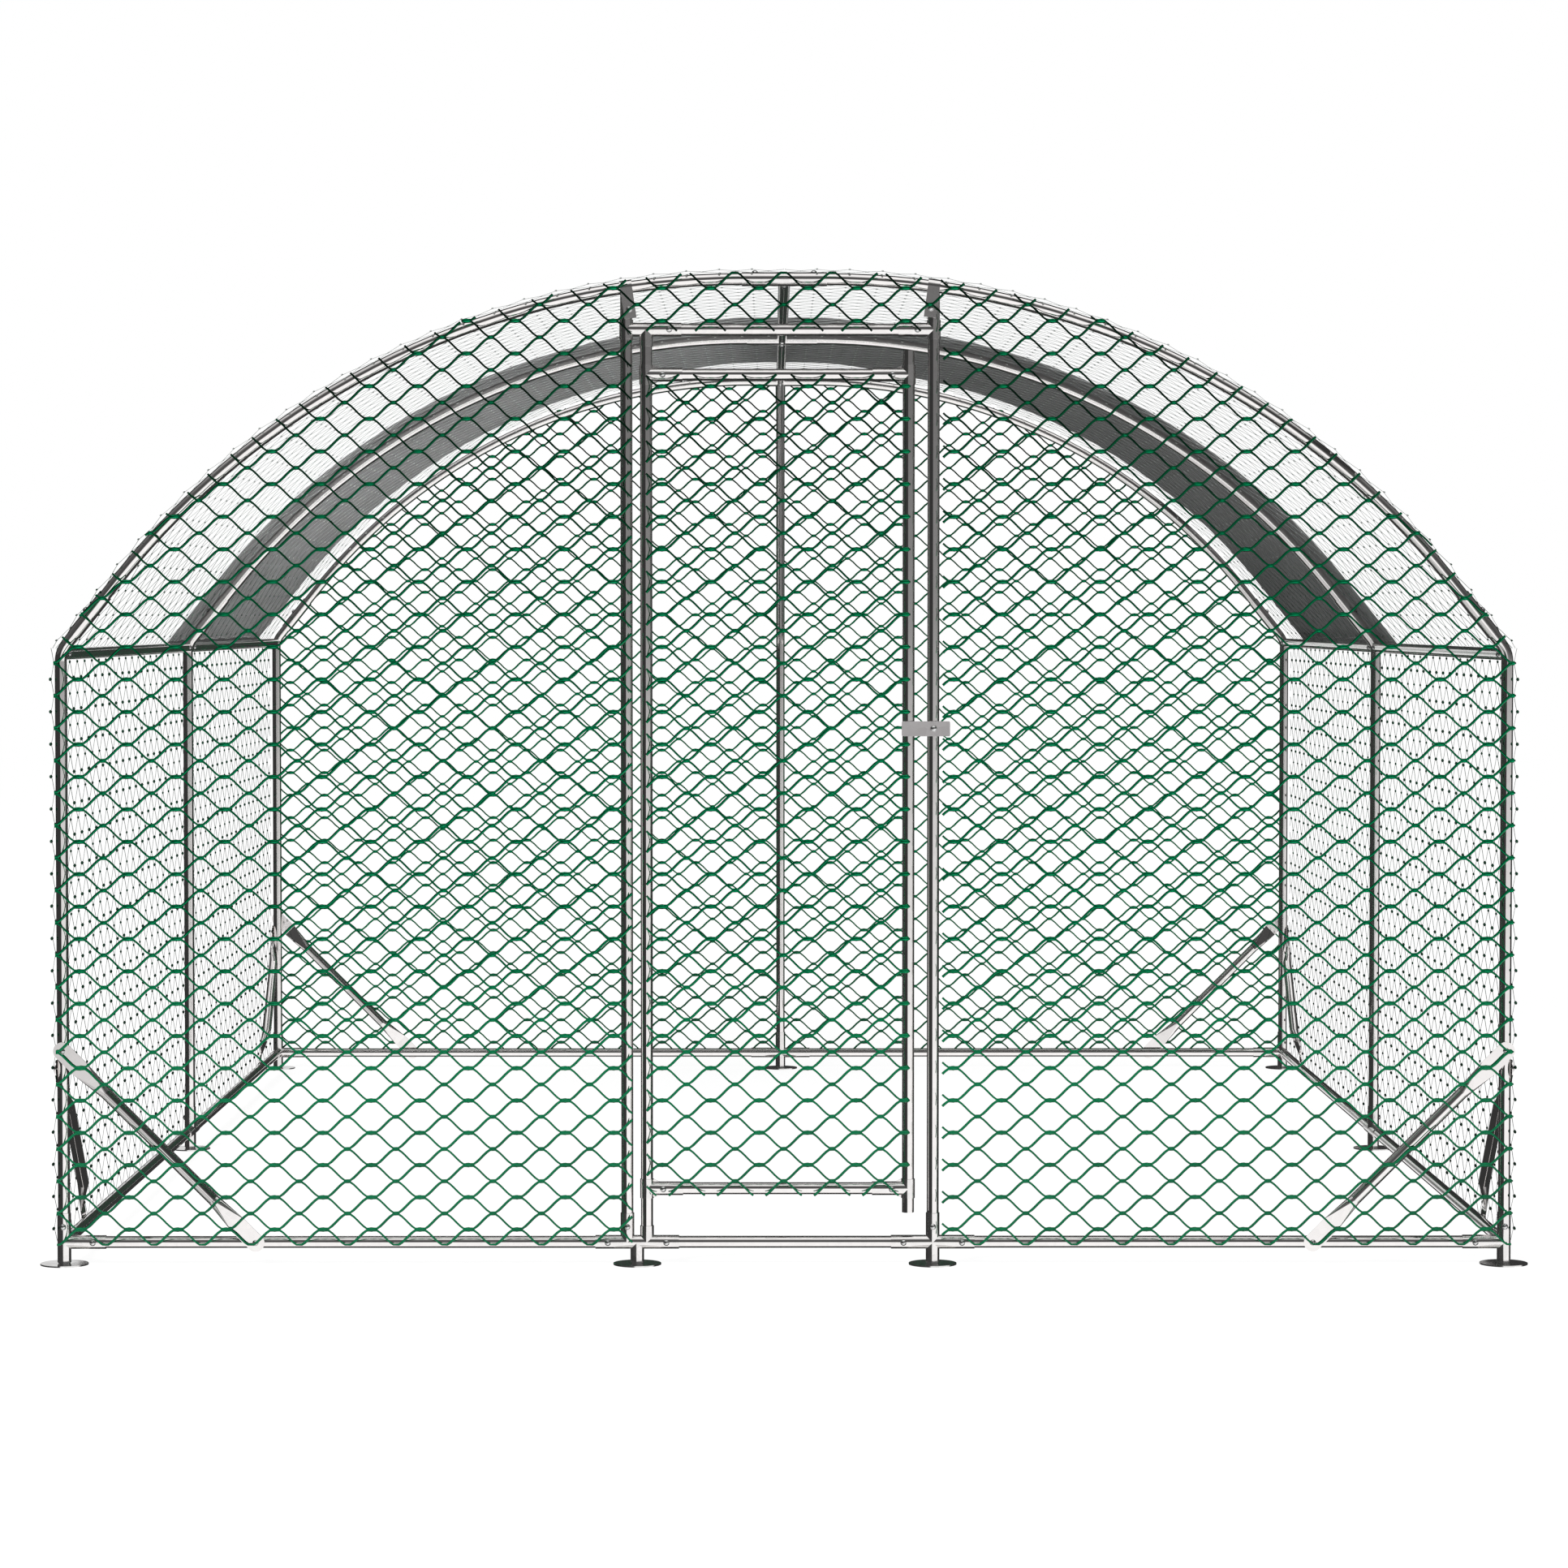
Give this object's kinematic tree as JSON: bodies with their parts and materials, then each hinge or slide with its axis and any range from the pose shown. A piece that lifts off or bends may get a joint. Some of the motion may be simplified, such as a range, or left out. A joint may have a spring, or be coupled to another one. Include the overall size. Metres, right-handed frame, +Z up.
{
  "type": "walk-in chicken run",
  "caption": "Walk-in poultry run: galvanised tube frame with an arched roof, green wire netting, a dark cloth roof cover and a hinged netted door with a turn-plate latch.",
  "frame": {"origin": "on the ground, under the middle of the footprint of the feet and nets", "axes": "+Y from the door end to the rear end, +Z up, +X to the right seen from the door"},
  "size_m": [3.1, 4.0998, 2.0874],
  "materials": {
    "tube": "bright galvanised",
    "fittings": "galvanised pressings",
    "screws": "zinc plated",
    "latch": "zinc plated sheet",
    "feet": "galvanised sheet",
    "netting": "green coated wire",
    "cover": "dark grey coated cloth"
  },
  "bodies": {
    "frame": {"front_left_post": "tube", "front_right_post": "tube", "middle_left_post": "tube", "middle_right_post": "tube", "rear_left_post": "tube", "rear_right_post": "tube", "front_left_bow": "tube", "front_right_bow": "tube", "middle_left_bow": "tube", "middle_right_bow": "tube", "rear_left_bow": "tube", "rear_right_bow": "tube", "front_crown_fitting": "fittings", "middle_crown_fitting": "fittings", "rear_crown_fitting": "fittings", "ridge_tubes": "tube", "left_eave_tubes": "tube", "right_eave_tubes": "tube", "corner_fittings": "fittings", "middle_tees": "fittings", "rear_centre_tee": "fittings", "hinge_side_sill_fitting": "fittings", "latch_side_sill_fitting": "fittings", "front_left_rail": "tube", "door_sill": "tube", "front_right_rail": "tube", "rear_rails": "tube", "left_side_rails": "tube", "right_side_rails": "tube", "rear_centre_post": "tube", "hinge_post": "tube", "latch_post": "tube", "lintel": "tube", "hinge_lintel_fitting": "fittings", "latch_lintel_fitting": "fittings", "post_clips": "fittings", "front_braces": "tube", "rear_braces": "tube", "left_braces": "tube", "right_braces": "tube", "feet": "feet", "frame_screws": "screws", "brace_screws": "screws", "latch_screw": "screws", "front_left_net": "netting", "front_right_net": "netting", "over_door_net": "netting", "rear_net": "netting", "left_net": "netting", "right_net": "netting", "roof_net": "netting", "roof_cover": "cover"},
    "door": {"hinge_stile": "tube", "latch_stile": "tube", "door_top_rail": "tube", "door_bottom_rail": "tube", "door_tees": "fittings", "door_net": "netting", "door_screws": "screws"},
    "latch": {"latch_plate": "latch"}
  },
  "joints": [
    {"name": "door_hinge", "type": "hinge", "parent": "frame", "child": "door", "pos_m": [-0.286, -2, 0.1], "axis": [0, 0, 1], "range_deg": [0, 110]},
    {"name": "latch_turn", "type": "hinge", "parent": "frame", "child": "latch", "pos_m": [0.309, -2.024, 1.117], "axis": [0, -1, 0], "range_deg": [-90, 90]}
  ]
}
